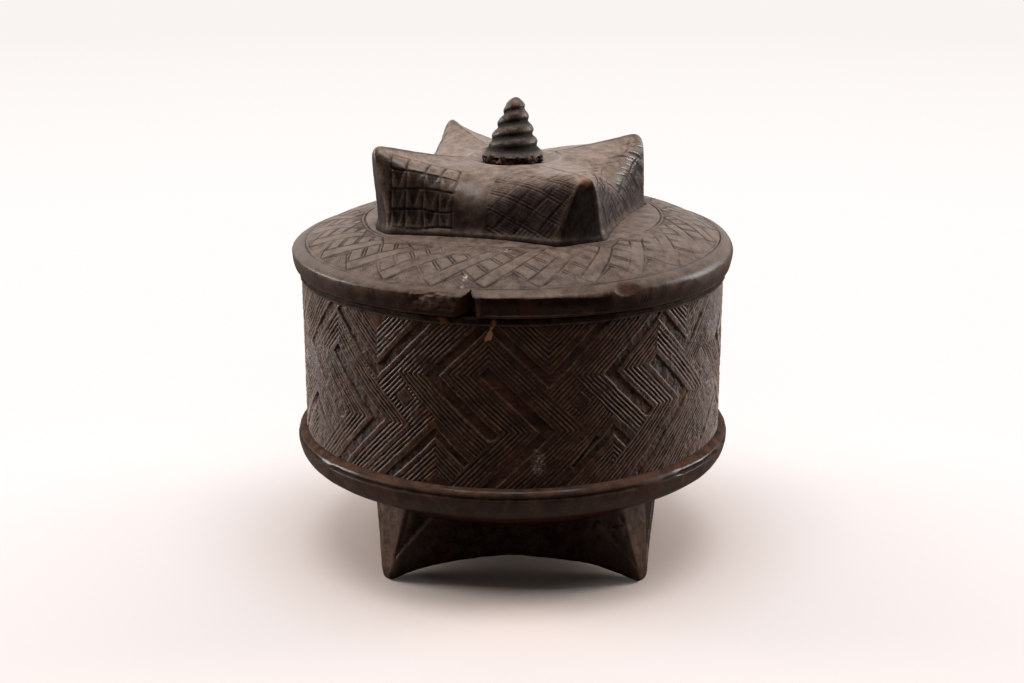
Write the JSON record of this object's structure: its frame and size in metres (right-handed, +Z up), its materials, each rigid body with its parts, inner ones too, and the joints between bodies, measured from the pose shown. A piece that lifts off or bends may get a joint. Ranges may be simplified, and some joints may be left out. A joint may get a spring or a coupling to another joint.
{
  "type": "carved lidded storage vessel",
  "caption": "Round carved wooden container on a pointed-foot base, with a lift-off domed lid, horned boss and spiral finial.",
  "frame": {"origin": "on the floor, on the axis of the vessel, at the centre of the bottom of the box round the part", "axes": "+Z up along the vessel's axis; the pictured front with the broken rim notch faces -Y; the feet point to the four diagonals"},
  "size_m": [0.2804, 0.2804, 0.292],
  "materials": {
    "carved_wood": "dark brown carved wood, smoke and oil patina, reddish brown in the grooves",
    "polished_wood": "dark brown wood rubbed smooth, thin grey dust on its upper faces",
    "blackened_wood": "greenish black, glossy from handling",
    "pitch": "rough black pitch"
  },
  "bodies": {
    "vessel": {"vessel": "carved_wood"},
    "lid": {"lid": "polished_wood", "pitch_bed": "pitch", "finial": "blackened_wood"}
  },
  "joints": [
    {"name": "lid_lift", "type": "slide", "parent": "vessel", "child": "lid", "axis": [0, 0, 1], "range_m": [0, 0.12]}
  ]
}
